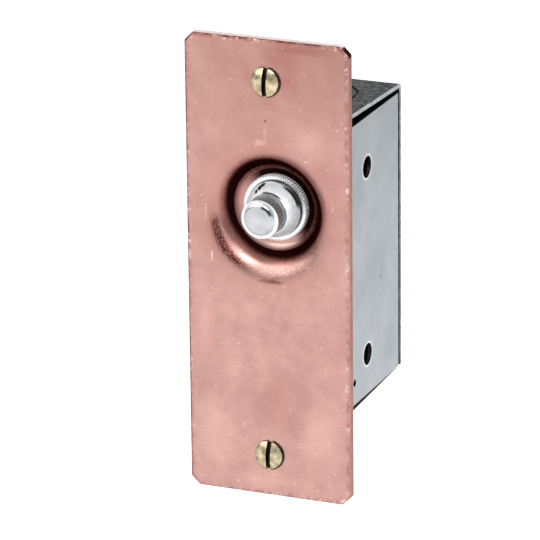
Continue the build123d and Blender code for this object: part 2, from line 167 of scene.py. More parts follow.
def band(tree, value, rise, fall):
    """One between rise and fall, nought outside: a smooth step up times a smooth step down."""
    return product(tree, ramp(tree, value, *rise), ramp(tree, value, *fall, 1.0, 0.0))


def paint(tree, share, under, code):
    """The colour under, turned towards a hex colour by this share."""
    return add(tree, "Mix", {0: share, 6: under, 7: linear(code)}, data_type="RGBA")[2]


# %% Patterns in real sizes
def mottle(tree, place, size, stops, detail=3.0):
    """Clouds about this size in metres: fractal noise of frequency 1 / size, read through a colour ramp."""
    clouds = add(tree, "TexNoise", {"Vector": place, "Scale": 1 / size, "Detail": detail})["Fac"]
    return add(tree, "ValToRGB", {0: clouds}, stops=stops)["Color"]


def grain(tree, place, size, low, high, detail=2.0):
    """A value that wavers between low and high over this size: the middle of noise, stretched."""
    speckle = add(tree, "TexNoise", {"Vector": place, "Scale": 1 / size, "Detail": detail})["Fac"]
    return add(tree, "MapRange", {0: speckle, 1: 0.35, 2: 0.65, 3: low, 4: high})[0]


def patchy(tree, place, size, low, high):
    """Grain held between nought and one: low under nought leaves bare gaps, high over one full spots."""
    return add(tree, "Clamp", {0: grain(tree, place, size, low, high)})[0]


def uneven(tree, place, size, strength, depth, detail=3.0, under=None):
    """A normal bent by noise of this size, whose whole height is depth, on top of another normal."""
    height = add(tree, "TexNoise", {"Vector": place, "Scale": 1 / size, "Detail": detail})["Fac"]
    inputs = {"Height": height, "Strength": strength, "Distance": depth}
    if under is not None:
        inputs["Normal"] = under
    return add(tree, "Bump", inputs)[0]


# %% Distances and directions
def from_line(tree, place, point, axis=(0, 1, 0)):
    """Distance from a line through a point along an axis: the length of the offset without that axis."""
    flat = tuple(1 - v for v in axis)
    offset = add(tree, "VectorMath", {0: place, 1: point}, operation="SUBTRACT")[0]
    offset = add(tree, "VectorMath", {0: offset, 1: flat}, operation="MULTIPLY")[0]
    return add(tree, "VectorMath", {0: offset}, operation="LENGTH")["Value"]


def facing(tree, place, point, degrees):
    """Cosine between the way from a point and an angle on the plate, counted from +X towards +Z."""
    angle = np.radians(degrees)
    offset = add(tree, "VectorMath", {0: place, 1: point}, operation="SUBTRACT")[0]
    offset = add(tree, "VectorMath", {0: offset, 1: (1, 0, 1)}, operation="MULTIPLY")[0]
    offset = add(tree, "VectorMath", {0: offset}, operation="NORMALIZE")[0]
    way = (float(np.cos(angle)), 0.0, float(np.sin(angle)))
    return add(tree, "VectorMath", {0: offset, 1: way}, operation="DOT_PRODUCT")["Value"]


def spot(tree, place, centre, reach, core=0.3):
    """One at a place, nought beyond an ellipsoid: the length of offset / reach, both in millimetres."""
    offset = add(tree, "VectorMath", {0: place, 1: tuple(MM * v for v in centre)}, operation="SUBTRACT")[0]
    offset = add(tree, "VectorMath", {0: offset, 1: tuple(MM * v for v in reach)}, operation="DIVIDE")[0]
    distance = add(tree, "VectorMath", {0: offset}, operation="LENGTH")["Value"]
    return ramp(tree, distance, core, 1.0, 1.0, 0.0)


# %% [markdown]
# ## The studio
#
# Polished metal shows the room more than itself, so the room is built before any finish. A ready
# picture of a room would give lifelike mirror images, but not these ones, so it is made of a few
# plain parts that can be moved one by one. They are a white backdrop and floor, a dim
# grey ceiling, a broad soft lamp at the left, another above, and two smaller ones at the right.
# The floor lies well below the switch, which hangs by its plate, so its soft shadow falls outside
# the picture. It glows less in the metal than in the camera, so the plate keeps its own colour
# while the ground stays white.

# %% Backdrop and room
ROOM_GREY = linear("#8A8C8E")
ROOM_STRENGTH = 0.6
BACKDROP_START = (-0.25, 0.1)
BACKDROP_TOP = (0.5, 0.75)


def who_looks(tree):
    """Two values of the ray that looks: one for the camera's, and one for a mirrored or refracted ray."""
    ray = add(tree, "LightPath")
    either = {0: ray["Is Glossy Ray"], 1: ray["Is Transmission Ray"]}
    return ray["Is Camera Ray"], add(tree, "Math", either, operation="MAXIMUM")[0]


world = bpy.data.worlds.new("studio")
bpy.context.scene.world = world
world.use_nodes = True
sky = world.node_tree
sky.nodes.clear()
seen, mirrored = who_looks(sky)
direction = add(sky, "SeparateXYZ", {0: add(sky, "TexCoord")["Generated"]})
behind = ramp(sky, direction["Y"], *BACKDROP_START)
low_part = ramp(sky, direction["Z"], *BACKDROP_TOP, 1.0, 0.0)
in_metal = product(sky, mirrored, behind, low_part)
white = add(sky, "Math", {0: seen, 1: in_metal}, operation="MAXIMUM")[0]
room = add(sky, "Background", {"Color": ROOM_GREY, "Strength": ROOM_STRENGTH})[0]
backdrop = add(sky, "Background", {"Color": (1, 1, 1, 1), "Strength": 1.0})[0]
both = add(sky, "MixShader", {0: white, 1: room, 2: backdrop})[0]
add(sky, "OutputWorld", {"Surface": both})

# %% Floor
FLOOR_DROP = 0.15
FLOOR_HALF = 4.0
FLOOR_GLOW = 0.37
FLOOR_SEEN = 0.65

plane = bpy.data.meshes.new("floor")
corners = [(x * FLOOR_HALF, y * FLOOR_HALF, -FLOOR_DROP) for x, y in ((-1, -1), (1, -1), (1, 1), (-1, 1))]
plane.from_pydata(corners, [], [(0, 1, 2, 3)])
floor = bpy.data.objects.new("floor", plane)
bpy.context.scene.collection.objects.link(floor)
tree, place = dress("white_paper", floor)
seen, mirrored = who_looks(tree)
glows = {0: product(tree, mirrored, FLOOR_GLOW), 1: product(tree, seen, FLOOR_SEEN)}
strength = add(tree, "Math", glows, operation="MAXIMUM")[0]
matt = add(tree, "BsdfDiffuse", {"Color": linear("#EEEEEE")})[0]
glow = add(tree, "Emission", {"Color": (1, 1, 1, 1), "Strength": strength})[0]
add(tree, "OutputMaterial", {"Surface": add(tree, "AddShader", {0: matt, 1: glow})[0]})


# %% Lamps
LAMP_DISTANCE = 1.4


def soft_lamp(name, azimuth, elevation, size, power):
    """A square area lamp that faces the switch, at angles in degrees from the way that the plate faces."""
    toward = Vector(way_to(np.radians(azimuth), np.radians(elevation)))
    lamp = bpy.data.objects.new(name, bpy.data.lights.new(name, "AREA"))
    lamp.data.size = size
    lamp.data.energy = power
    lamp.location = toward * LAMP_DISTANCE
    lamp.rotation_euler = toward.to_track_quat("Z", "Y").to_euler()
    bpy.context.scene.collection.objects.link(lamp)
    print(name, "at", [round(v, 2) for v in lamp.location], power, "W")


soft_lamp("key_lamp", azimuth=-42, elevation=33, size=1.1, power=11)
soft_lamp("upper_lamp", azimuth=14, elevation=44, size=0.6, power=9.5)
soft_lamp("fill_lamp", azimuth=62, elevation=22, size=0.6, power=9)
soft_lamp("far_lamp", azimuth=108, elevation=42, size=0.25, power=2.5)

# %% [markdown]
# ## Copper plating
#
# The plate is drawn steel under a satin copper plating. It is a warm pink rather than orange, cloudy from
# handling, with painted shade towards the top right and around the recess. The wall of the recess is painted
# nearly black, as a painted dark reflection, with a crisp edge inside and a soft one outside.
#
# A painted picture could hold all of this, but it would blur from near. Here each patch is a smooth
# step of a distance, from the switch's axis or from the plate's outline, and noise breaks its edge:
# it stays sharp at any size, and one number in millimetres moves it. Angles are in degrees, seen
# from the front, from the right towards the top. Copper keeps its metallic look at a roughness of
# 0.32 to 0.42, which is satin. Its real grain is finer than a pixel, so it is drawn as coarse as
# half a millimetre.

# %% Copper: clouds, and painted shade towards the top right
SWITCH = (0.0, 0.0, 13.1 * MM)
TOP_SHADE = (18 * MM, 52 * MM)
RIGHT_SHADE = (-16 * MM, 15 * MM)
RECESS_SHADE_ZONE = (14 * MM, 22 * MM)

tree, place = dress("copper_plating_satin", nodes["face_plate"])
x_y_z = add(tree, "SeparateXYZ", {0: place})
from_axis = from_line(tree, place, SWITCH)
colour = mottle(tree, place, 13 * MM, [(0.3, "#BF918A"), (0.5, "#C69991"), (0.72, "#CBA098")], detail=3)
patches = grain(tree, place, 3.0 * MM, 0.94, 1.05, detail=3)
flecks = grain(tree, place, 0.5 * MM, 0.95, 1.04, detail=4)
colour = add(tree, "VectorMath", {0: colour, 3: product(tree, patches, flecks)}, operation="SCALE")[0]
higher = ramp(tree, x_y_z["Z"], *TOP_SHADE)
righter = ramp(tree, x_y_z["X"], *RIGHT_SHADE, 0.4, 1.0)
colour = paint(tree, product(tree, higher, righter), colour, "#B2857B")
# A softer painted shade around the recess, fading out from 14 to 22 mm off the switch's axis.
recess_shade = product(tree, ramp(tree, from_axis, *RECESS_SHADE_ZONE, 0.5, 0.0), grain(tree, place, 6 * MM, 0.5, 1.0))
colour = paint(tree, recess_shade, colour, "#B17A70")

# %% Copper: broad soft patches of painted light and shade, each as (centre, reach, colour, strength)
LIGHT_AND_SHADE_PATCHES = [
    ((-13.0, -2.0, -39.0), (6.5, 1.5, 13.0), "#E6BBB1", 0.42),
    ((13.0, -2.0, -38.0), (6.5, 1.5, 12.0), "#E6BBB1", 0.4),
    ((0.0, -2.0, -49.0), (14.0, 1.5, 3.0), "#E3B3AA", 0.35),
    ((2.0, -2.0, -28.0), (8.0, 1.5, 8.0), "#B9827A", 0.3),
    ((3.0, -2.0, -34.0), (7.0, 1.5, 6.0), "#BE8A82", 0.3),
    ((-15.0, -2.0, -14.0), (4.0, 1.5, 12.0), "#E2B1A8", 0.45),
    ((10.0, -2.0, 29.5), (7.0, 1.5, 6.0), "#E0B3AA", 0.4),
    ((-10.0, -2.0, 46.0), (7.0, 1.5, 6.0), "#B77F76", 0.25),
    ((0.8, -2.0, -2.4), (4.6, 1.5, 0.9), "#7A3A33", 0.6),
    ((-12.4, -1.8, 12.5), (2.4, 1.5, 6.0), "#8F5A50", 0.4),
    ((0.3, -2.0, 42.9), (5.6, 1.5, 5.4), "#A2635A", 0.45),
    ((8.0, -2.0, 50.7), (12.0, 1.5, 1.8), "#9C5A52", 0.55),
    ((-6.0, -2.0, 38.0), (9.0, 1.5, 9.0), "#B58272", 0.2),
    ((3.5, -2.0, 48.2), (7.0, 1.5, 3.4), "#A2605A", 0.45),
    ((5.0, -2.0, 43.5), (3.6, 1.5, 5.5), "#A8655D", 0.4),
    ((-4.3, -2.0, 44.5), (2.4, 1.5, 3.6), "#A8655D", 0.3),
    ((1.0, -2.0, 38.0), (3.0, 1.5, 2.4), "#B0736A", 0.35),
]
for centre, reach, code, strength in LIGHT_AND_SHADE_PATCHES:
    colour = paint(tree, product(tree, spot(tree, place, centre, reach, core=0.0), strength), colour, code)

# %% Copper: dark smudges, and pale specks and streaks of painted highlight round the flare, in the same form
SMUDGES_AND_GLINTS = [
    ((-0.3, -2.0, 34.1), (0.5, 1.5, 0.34), "#4A211E", 0.95),
    ((-1.6, -2.0, 29.2), (2.2, 1.5, 1.0), "#EAC6BD", 0.6),
    ((-0.4, -2.0, 31.0), (0.5, 1.5, 1.8), "#E6C0B6", 0.5),
    ((-13.2, -2.0, 1.9), (0.45, 1.5, 1.7), "#F2D6CC", 0.9),
    ((-14.6, -2.0, 12.0), (0.4, 1.5, 2.4), "#E9C6BC", 0.6),
    ((0.8, -2.0, -2.3), (3.6, 1.5, 0.6), "#7A3A33", 0.85),
    ((-2.2, -2.0, -1.6), (2.4, 1.5, 0.4), "#8A4A42", 0.6),
    ((15.2, -2.0, 16.0), (0.3, 1.5, 1.3), "#F0D2C8", 0.7),
    ((9.4, -2.0, 25.9), (0.9, 1.5, 0.3), "#EFD0C6", 0.7),
    ((10.4, -2.0, 26.5), (0.4, 1.5, 0.3), "#F4DCD3", 0.7),
]
broken = patchy(tree, place, 0.3 * MM, -0.2, 1.2)
for centre, reach, code, strength in SMUDGES_AND_GLINTS:
    colour = paint(tree, product(tree, spot(tree, place, centre, reach), strength, broken), colour, code)

# %% Copper: pale pits, where the finest noise peaks
PIT_SIZE = 0.9 * MM
PIT_PEAK = (0.66, 0.74)

pits = add(tree, "TexNoise", {"Vector": place, "Scale": 1 / PIT_SIZE, "Detail": 4.0})["Fac"]
colour = paint(tree, ramp(tree, pits, *PIT_PEAK, 0.0, 0.55), colour, "#EBCBC2")

# %% Copper: the dark ring in the recess, a painted dark reflection with a soft halo, wider towards the upper right
RING_WAY, RING_SHIFT = 45, 0.9 * MM
RING_START, RING_END = (9.7 * MM, 9.9 * MM), (11.2 * MM, 12.1 * MM)
HALO_START, HALO_END = (9.7 * MM, 10.0 * MM), (11.3 * MM, 13.2 * MM)


def off_centre(tree, place, from_axis, degrees, shift):
    """Distance from the switch's axis, less shift times the cosine to an angle: rings moved that way."""
    moved = product(tree, facing(tree, place, SWITCH, degrees), -shift)
    return add(tree, "Math", {0: moved, 1: from_axis}, operation="ADD")[0]


shifted = off_centre(tree, place, from_axis, RING_WAY, RING_SHIFT)
reflection_halo = product(tree, ramp(tree, from_axis, *HALO_START), ramp(tree, shifted, *HALO_END, 1.0, 0.0))
colour = paint(tree, product(tree, reflection_halo, grain(tree, place, 0.8 * MM, 0.6, 1.0)), colour, "#8A4C43")
reflection_ring = product(tree, ramp(tree, from_axis, *RING_START), ramp(tree, shifted, *RING_END, 1.0, 0.0))
colour = paint(tree, reflection_ring, colour, "#2C100D")

# %% Copper: painted shade behind the nut and in the crease, and a painted highlight on the floor below it
SHADE_WAY, HIGHLIGHT_WAY = 42, 262
SHADE_END = (8.5 * MM, 9.2 * MM)
CREASE_SHADE = (8.4 * MM, 9.1 * MM), (9.6 * MM, 9.9 * MM)
FLOOR_HIGHLIGHT = (7.4 * MM, 8.2 * MM), (9.5 * MM, 9.8 * MM)

upper_right = ramp(tree, facing(tree, place, SWITCH, SHADE_WAY), -0.55, 0.3)
behind_nut = product(tree, upper_right, ramp(tree, from_axis, *SHADE_END, 1.0, 0.0))
crease_shade = product(tree, upper_right, band(tree, from_axis, *CREASE_SHADE))
colour = paint(tree, product(tree, crease_shade, grain(tree, place, 0.6 * MM, 0.4, 1.0)), colour, "#7C3A33")
colour = paint(tree, behind_nut, colour, "#1C0807")
lower = ramp(tree, facing(tree, place, SWITCH, HIGHLIGHT_WAY), 0.55, 0.95)
colour = paint(tree, product(tree, lower, band(tree, from_axis, *FLOOR_HIGHLIGHT)), colour, "#E2B9AF")

# %% Copper: a dark speckled band at the lower left
LOWER_LEFT_WAY, DRIFT_WAY, DRIFT_SHIFT = 217, 262, 1.6 * MM
LOWER_LEFT_BAND = (11.3 * MM, 12.2 * MM), (12.7 * MM, 13.9 * MM)

drift = off_centre(tree, place, from_axis, DRIFT_WAY, DRIFT_SHIFT)
lower_left = ramp(tree, facing(tree, place, SWITCH, LOWER_LEFT_WAY), 0.84, 0.97)
lower_left_band = product(tree, band(tree, drift, *LOWER_LEFT_BAND), lower_left)
colour = paint(tree, product(tree, lower_left_band, grain(tree, place, 1.1 * MM, 0.1, 0.7)), colour, "#93483F")
specks = add(tree, "Clamp", {0: product(tree, lower_left_band, grain(tree, place, 0.3 * MM, -0.9, 2.1))})[0]
colour = paint(tree, product(tree, specks, 0.9), colour, "#4A1714")

# %% Copper: the roll below the recess, where its highlight falls: painted duller, with pale flecks of painted highlight and darker flecks
ROLL_WAY = 292
ROLL_ZONE = (11.6 * MM, 12.6 * MM), (14.5 * MM, 15.8 * MM)

below = ramp(tree, facing(tree, place, SWITCH, ROLL_WAY), 0.55, 0.9)
roll_highlight = product(tree, band(tree, from_axis, *ROLL_ZONE), below)
dull = product(tree, roll_highlight, grain(tree, place, 1.2 * MM, 0.15, 0.6))
colour = paint(tree, dull, colour, "#B8958A")
for size, code in ((0.42 * MM, "#E9CCC3"), (0.55 * MM, "#A8736A")):
    flecks = patchy(tree, place, size, -1.3, 1.0)
    colour = paint(tree, product(tree, roll_highlight, flecks, 0.4), colour, code)

# %% Copper: distance from the plate's outline, with its clipped corners
HALF_WIDTH = 19.05 * MM
HALF_HEIGHT = 52.3875 * MM
PLATE_CORNER = 1.95 * MM

outside = add(tree, "VectorMath", {0: place}, operation="ABSOLUTE")[0]
outside = add(tree, "SeparateXYZ", {0: outside})
from_side = add(tree, "Math", {0: HALF_WIDTH, 1: outside["X"]}, operation="SUBTRACT")[0]
from_end = add(tree, "Math", {0: HALF_HEIGHT, 1: outside["Z"]}, operation="SUBTRACT")[0]
from_corner = add(tree, "Math", {0: from_side, 1: from_end}, operation="ADD")[0]
from_corner = add(tree, "Math", {0: from_corner, 1: PLATE_CORNER}, operation="SUBTRACT")[0]
from_corner = product(tree, from_corner, np.sqrt(0.5))  # the corner is clipped at 45 degrees
from_edge = add(tree, "Math", {0: from_side, 1: from_end}, operation="MINIMUM")[0]
from_edge = add(tree, "Math", {0: from_edge, 1: from_corner}, operation="MINIMUM")[0]

# %% Copper: the edge's wall, with painted light along the top and painted shade on the upper right corner
BEHIND_FACE = (-1.85 * MM, -1.6 * MM)
TOP_EDGE = (51.6 * MM, 52.2 * MM)
DARK_CORNER = (18.7, -1.0, 51.5), (1.7, 4.0, 1.9)

on_wall = ramp(tree, from_edge, 0, 0.2 * MM, 1.0, 0.0)
side_wall = product(tree, ramp(tree, x_y_z["Y"], *BEHIND_FACE), on_wall)
colour = paint(tree, product(tree, side_wall, grain(tree, place, 0.5 * MM, 0.35, 0.95)), colour, "#DDB4B0")
lit_top_wall = product(tree, side_wall, ramp(tree, x_y_z["Z"], *TOP_EDGE))
colour = paint(tree, product(tree, lit_top_wall, grain(tree, place, 1.6 * MM, 0.75, 1.0)), colour, "#FBEFEC")
corner_shade = product(tree, side_wall, spot(tree, place, *DARK_CORNER, core=0.7))
colour = paint(tree, product(tree, corner_shade, 0.92), colour, "#2A1311")

# %% Copper: a thin dark outline of painted shade, strongest at the left and the top, pale flecks of painted highlight along the burred edge, and rubbed places
OUTLINE = (-0.02 * MM, 0.04 * MM), (0.3 * MM, 0.55 * MM)
NEAR_EDGE = (0.02 * MM, 0.15 * MM), (0.5 * MM, 1.3 * MM)
LEFT_RIM = (-17.6 * MM, -18.4 * MM)
TOP_RIM = (50.6 * MM, 51.6 * MM)
FRONT_ONLY = (-1.7 * MM, -1.5 * MM)

at_left = ramp(tree, x_y_z["X"], *LEFT_RIM)
at_top = ramp(tree, x_y_z["Z"], *TOP_RIM)
left_or_top = add(tree, "Math", {0: at_left, 1: at_top}, operation="MAXIMUM")[0]
outline_shade = product(
    tree,
    band(tree, from_edge, *OUTLINE),
    ramp(tree, x_y_z["Y"], *FRONT_ONLY, 1.0, 0.0),
    add(tree, "MapRange", {0: left_or_top, 3: 0.25, 4: 0.95})[0],
    grain(tree, place, 2.2 * MM, 0.4, 1.0),
)
colour = paint(tree, outline_shade, colour, "#5C332D")
near_edge = band(tree, from_edge, *NEAR_EDGE)
edge_glints = patchy(tree, place, 0.8 * MM, -1.9, 1.25)
edge_glints = product(tree, edge_glints, grain(tree, place, 7 * MM, 0.0, 1.0))
colour = paint(tree, product(tree, near_edge, edge_glints, 0.85), colour, "#F3D5CC")
rubbed = patchy(tree, place, 1.9 * MM, 1.3, -0.6)
colour = paint(tree, product(tree, near_edge, rubbed, 0.5), colour, "#A05A55")

# %% Copper: gloss, duller on the dark ring, less metallic where light is painted on the top wall, and waves that the press left
gloss = grain(tree, place, 4 * MM, 0.32, 0.42)
gloss = add(tree, "Math", {0: gloss, 1: product(tree, reflection_ring, 0.25)}, operation="ADD")[0]
metal = add(tree, "MapRange", {0: lit_top_wall, 3: 1.0, 4: 0.25})[0]
waves = uneven(tree, place, 7 * MM, 0.28, 0.08 * MM, detail=2)
normal = uneven(tree, place, 0.5 * MM, 0.14, 0.03 * MM, detail=2, under=waves)
close(tree, colour, gloss, metal, normal, Specular_Tint=linear("#7A5650"))

# %% [markdown]
# ## Galvanised sheet
#
# The box is zinc-coated sheet. Its side panels are pale and smooth, with the faint spangle that zinc leaves
# as it freezes: cells about 5 mm wide, each with its own shade. The frame that wraps over the top is painted
# dark and mottled, as painted shade, and only its sheared edges are bright. All three sheets could share one
# material, but they mirror different parts of the room, so each kind has its own colours, a lit copy and a
# shaded one, and the bright edges are found by their distance from the box's middle.

# %% Side panels
BOX_HALF = 15.87 * MM
HOLE_LIP = (2.2 * MM, 2.4 * MM), (2.8 * MM, 3.2 * MM)
NAIL_HOLES = [(0.0, 16.8 * MM, 20.0 * MM), (0.0, 16.8 * MM, -23.5 * MM)]
BACK_BAND = (34.4 * MM, 36.0 * MM)

tree, place = dress("galvanised_sheet_pale", nodes["box_side_right"], nodes["box_side_left"])
x_y_z = add(tree, "SeparateXYZ", {0: place})
colour = mottle(tree, place, 16 * MM, [(0.3, "#AFB5B9"), (0.7, "#BEC4C7")])
cells = add(tree, "TexVoronoi", {"Vector": place, "Scale": 1 / (5 * MM)})["Color"]
spangle = add(tree, "MapRange", {0: cells, 1: 0.0, 2: 1.0, 3: 0.965, 4: 1.025})[0]
higher = ramp(tree, x_y_z["Z"], 0.0, 30 * MM, 1.0, 0.9)
flecks = grain(tree, place, 0.6 * MM, 0.97, 1.02)
colour = add(tree, "VectorMath", {0: colour, 3: product(tree, spangle, higher, flecks)}, operation="SCALE")[0]
for hole in NAIL_HOLES:
    lip = band(tree, from_line(tree, place, hole, (1, 0, 0)), *HOLE_LIP)
    colour = paint(tree, product(tree, lip, 0.75), colour, "#F2F5F6")
# A grainy darker band along the back edge.
darker_back = product(tree, ramp(tree, x_y_z["Y"], *BACK_BAND), grain(tree, place, 0.8 * MM, 0.2, 0.9))
colour = paint(tree, darker_back, colour, "#A5ABAE")
side = add(tree, "Math", {0: x_y_z["X"]}, operation="ABSOLUTE")[0]
# The inside of each panel is painted near black: painted shade in the gap under the frame.
inner_shade = ramp(tree, side, BOX_HALF - 0.15 * MM, BOX_HALF - 0.05 * MM, 1.0, 0.0)
colour = paint(tree, product(tree, inner_shade, grain(tree, place, 2.5 * MM, 0.6, 0.95)), colour, "#17191A")

# %% Side panels: two small marks, and the surface
PANEL_MARKS = [((15.9, 24.8, -7.9), (2.0, 0.4, 0.4)), ((15.9, 6.0, 8.0), (2.0, 0.35, 0.5))]

for centre, reach in PANEL_MARKS:
    colour = paint(tree, spot(tree, place, centre, reach), colour, "#4D5052")
normal = uneven(tree, place, 2 * MM, 0.2, 0.03 * MM)
close(tree, colour, grain(tree, place, 5 * MM, 0.32, 0.42), normal=normal)

# %% Frame: painted dark and mottled as shade, its sheared edges bright, the narrow bottom strip's edge in painted shadow
BOTTOM_HALF = 14.87 * MM
BOTTOM_Z = -32.9 * MM
UPPER_EDGE = (32 * MM, 32.4 * MM)

tree, place = dress("galvanised_sheet_shaded", nodes["box_frame"])
x_y_z = add(tree, "SeparateXYZ", {0: place})
colour = mottle(tree, place, 1.2 * MM, [(0.34, "#33363A"), (0.5, "#56595C"), (0.66, "#808488")], detail=5)
stains = grain(tree, place, 6 * MM, 0.8, 1.15, detail=3)
colour = add(tree, "VectorMath", {0: colour, 3: stains}, operation="SCALE")[0]
side = add(tree, "Math", {0: x_y_z["X"]}, operation="ABSOLUTE")[0]
sheared = ramp(tree, side, BOX_HALF - 0.08 * MM, BOX_HALF - 0.03 * MM)
upper = ramp(tree, x_y_z["Z"], *UPPER_EDGE)
colour = paint(tree, product(tree, sheared, grain(tree, place, 0.9 * MM, 0.4, 1.0)), colour, "#BCC2C5")
colour = paint(tree, product(tree, sheared, grain(tree, place, 0.9 * MM, 0.5, 1.0), upper), colour, "#C9CDD0")
low_strip = ramp(tree, x_y_z["Z"], BOTTOM_Z, BOTTOM_Z + 0.1 * MM, 1.0, 0.0)
shadow = product(tree, low_strip, ramp(tree, side, BOTTOM_HALF - 0.1 * MM, BOTTOM_HALF - 0.04 * MM))
colour = paint(tree, shadow, colour, "#050505")
normal = uneven(tree, place, 0.8 * MM, 0.4, 0.05 * MM)
close(tree, colour, grain(tree, place, 2 * MM, 0.42, 0.56), normal=normal, Specular_Tint=linear("#DADADA"))

# %% Box rivets
tree, place = dress("zinc_plated_rivet", nodes["box_rivets"])
colour = mottle(tree, place, 1.2 * MM, [(0.3, "#8F9498"), (0.7, "#B4B9BC")])
close(tree, colour, grain(tree, place, 0.8 * MM, 0.35, 0.5))

# %% [markdown]
# ## Nickel plating
#
# Button, bushing and nut are turned brass under nickel. The lathe leaves fine rings round the axis, which
# stretch every highlight into a streak. The three share one nickel, drawn as copies of different lightness as
# painted light and shade: the nut lightest, bright all round its teeth, which are not metallic at all, and
# the button darkest.
# The rings could be cut into the mesh, but the real ones are finer than a pixel. So noise of the
# distance from the axis shades and bends the surface, drawn coarser than the real rings to show.
# The dark things that nickel mirrors in a studio are painted on as lines and spots.

# %% Turned nickel
TURNING_PITCH = 0.3 * MM


def turned_nickel(name, dark, light, roughness, piece):
    """Nickel with lathe rings: noise of the distance from the axis, in turning pitches, changes the
    colour and bends the normal. Returns (tree, place, distance, colour, normal, roughness)."""
    tree, place = dress(name, piece)
    colour = mottle(tree, place, 3 * MM, [(0.3, dark), (0.7, light)], detail=1)
    radius = from_line(tree, place, SWITCH)
    pitches = product(tree, radius, 1 / TURNING_PITCH)
    rings = add(tree, "TexNoise", {"W": pitches, "Scale": 1.0}, noise_dimensions="1D")["Fac"]
    shine = add(tree, "MapRange", {0: rings, 1: 0.3, 2: 0.7, 3: 0.9, 4: 1.06})[0]
    colour = add(tree, "VectorMath", {0: colour, 3: shine}, operation="SCALE")[0]
    normal = add(tree, "Bump", {"Height": rings, "Strength": 0.12, "Distance": 0.02 * MM})[0]
    return tree, place, radius, colour, normal, grain(tree, place, 1.5 * MM, *roughness)


# %% Button: a painted highlight on the crowned rim, a painted dark reflection on its grey wall, and a dark streak of painted reflection on the face
RIM = (3.5 * MM, 3.75 * MM), (4.25 * MM, 4.4 * MM)
RIM_FRONT = (-6.1 * MM, -5.9 * MM)
WALL_RADIUS = (4.15 * MM, 4.3 * MM)
WALL_DEPTH = (-6.1 * MM, -5.8 * MM), (-3.3 * MM, -3.0 * MM)
STREAK_BAND = (2.6 * MM, 2.75 * MM), (3.2 * MM, 3.35 * MM)
STREAK_WAY = 52

tree, place, from_axis, colour, normal, rough = turned_nickel(
    "nickel_plating_button", "#AEAFB2", "#C8C9CB", (0.2, 0.3), nodes["plunger"]
)
depth = add(tree, "SeparateXYZ", {0: place})["Y"]
rim = product(tree, band(tree, from_axis, *RIM), ramp(tree, depth, *RIM_FRONT, 1.0, 0.0))
colour = paint(tree, product(tree, rim, 0.7), colour, "#F3F4F4")
wall_reflection = product(tree, ramp(tree, from_axis, *WALL_RADIUS), band(tree, depth, *WALL_DEPTH))
colour = paint(tree, product(tree, wall_reflection, 0.85), colour, "#828386")
upper_right = ramp(tree, facing(tree, place, SWITCH, STREAK_WAY), 0.84, 0.93)
streak_reflection = product(tree, band(tree, from_axis, *STREAK_BAND), upper_right)
colour = paint(tree, product(tree, streak_reflection, 0.95), colour, "#101112")
close(tree, colour, rough, 0.6, normal)

# %% Bushing: a line of painted shade round its foot, a painted dark reflection in a crescent at the right, another line of painted shade at its tip, and a black mark
BASE_LINE = (6.24 * MM, 6.3 * MM), (6.5 * MM, 6.6 * MM)
CRESCENT = (6.06 * MM, 6.14 * MM), (6.5 * MM, 6.6 * MM)
TIP_LINE = (4.5 * MM, 4.6 * MM), (4.8 * MM, 4.95 * MM)
BASE_WAY, CRESCENT_WAY, TIP_WAY = 42, 38, 78
NOSE_MARKS = [
    ((-1.95, 0.44, 18.83), (0.75, 1.5, 0.6)),
    ((-2.38, -0.38, 18.3), (0.7, 1.5, 0.65)),
    ((-2.95, -1.03, 17.56), (0.5, 1.5, 0.5)),
]

tree, place, from_axis, colour, normal, rough = turned_nickel(
    "nickel_plating_turned", "#DCE1E3", "#EFF2F3", (0.24, 0.34), nodes["switch_bushing"]
)
darker = ramp(tree, facing(tree, place, SWITCH, BASE_WAY), -0.4, 0.8, 0.5, 1.0)
colour = paint(tree, product(tree, band(tree, from_axis, *BASE_LINE), darker), colour, "#1A1B1C")
at_right = ramp(tree, facing(tree, place, SWITCH, CRESCENT_WAY), 0.84, 0.95)
colour = paint(tree, product(tree, band(tree, from_axis, *CRESCENT), at_right), colour, "#141516")
at_top = ramp(tree, facing(tree, place, SWITCH, TIP_WAY), 0.84, 0.95)
colour = paint(tree, product(tree, band(tree, from_axis, *TIP_LINE), at_top), colour, "#2A2B2D")
for centre, reach in NOSE_MARKS:
    colour = paint(tree, spot(tree, place, centre, reach, core=0.5), colour, "#08090A")
close(tree, colour, rough, 0.25, normal)

# %% Nut: the notches between its teeth are painted black as painted shade, and its front face alone shines as metal
TEETH = 88
NOTCH = (0.13, 0.19)
NOTCH_ROOT = (7.0 * MM, 7.1 * MM)
NUT_FRONT = 2.3 * MM

tree, place, from_axis, colour, normal, rough = turned_nickel(
    "nickel_plating_lightest", "#F4F6F6", "#FDFEFE", (0.26, 0.36), nodes["knurled_nut"]
)
offset = add(tree, "VectorMath", {0: place, 1: SWITCH}, operation="SUBTRACT")[0]
offset = add(tree, "SeparateXYZ", {0: offset})
teeth = add(tree, "Math", {0: offset["Z"], 1: offset["X"]}, operation="ARCTAN2")[0]
teeth = product(tree, teeth, TEETH / (2 * np.pi))
teeth = add(tree, "Math", {0: teeth, 1: 0.5}, operation="PINGPONG")[0]
notches = product(tree, ramp(tree, teeth, *NOTCH, 1.0, 0.0), ramp(tree, from_axis, *NOTCH_ROOT))
colour = paint(tree, notches, colour, "#050505")
flank = ramp(tree, offset["Y"], NUT_FRONT + 0.05 * MM, NUT_FRONT + 0.12 * MM)
dull = add(tree, "Math", {0: notches, 1: flank}, operation="MAXIMUM")[0]
metal = add(tree, "MapRange", {0: dull, 3: 0.9, 4: 0.0})[0]
close(tree, colour, rough, metal, normal)

